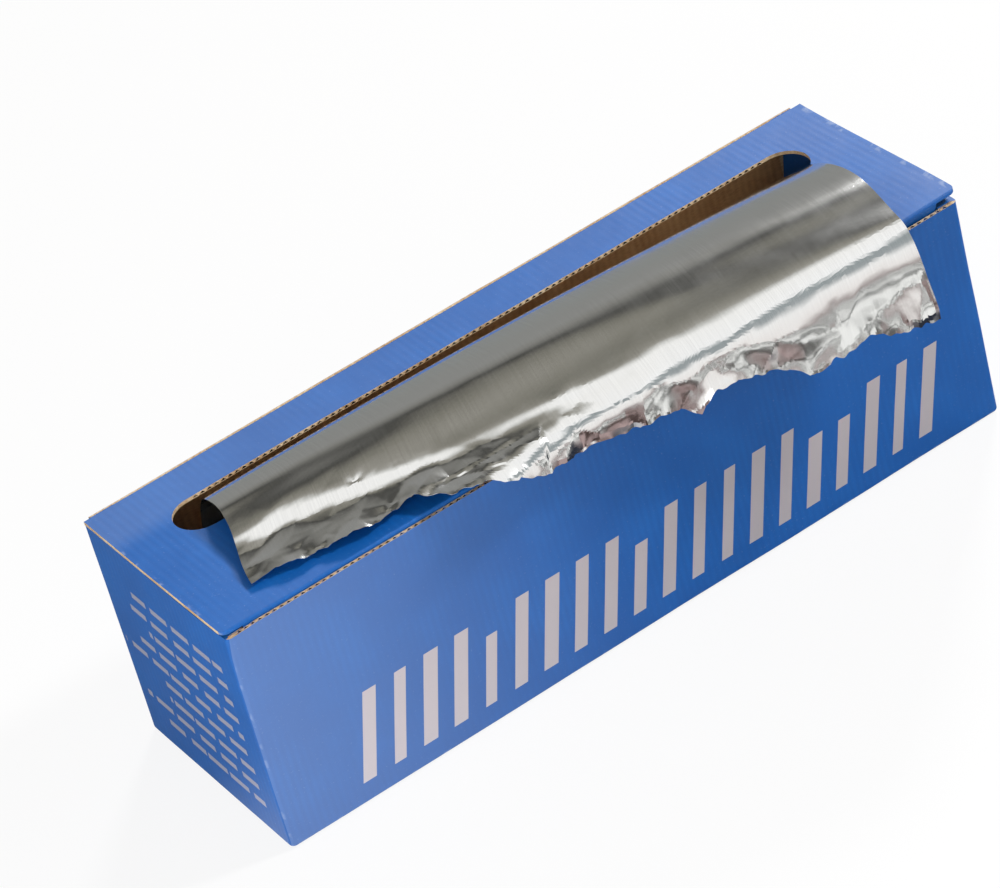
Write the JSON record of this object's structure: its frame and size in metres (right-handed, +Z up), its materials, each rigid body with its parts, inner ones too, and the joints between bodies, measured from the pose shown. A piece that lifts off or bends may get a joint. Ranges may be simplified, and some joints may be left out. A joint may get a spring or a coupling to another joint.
{
  "type": "aluminium foil roll in a dispenser carton",
  "caption": "Catering foil roll on a paper core in a fluted-board carton, with the foil drawn out through a long slot in the hinged lid and torn off over the front edge.",
  "frame": {"origin": "centre of the carton's underside", "axes": "+X along the roll towards the right end as seen from the front, -Y towards the printed front wall that the foil hangs over, +Z up"},
  "size_m": [0.3575, 0.1364, 0.1249],
  "materials": {
    "printed_board": "satin blue print on fluted paperboard, bare kraft inside",
    "foil": "bright rolled foil, lightly crumpled",
    "tube_paper": "plain wound paper tube"
  },
  "bodies": {
    "carton": {"carton": "printed_board", "core": "tube_paper", "foil_roll": "foil"},
    "lid": {"lid": "printed_board", "foil_web": "foil"}
  },
  "joints": [
    {"name": "lid_fold", "type": "hinge", "parent": "carton", "child": "lid", "pos_m": [0, 0.0537, 0.107], "axis": [-1, 0, 0], "range_deg": [0, 175], "deforming": ["foil_web"]}
  ]
}
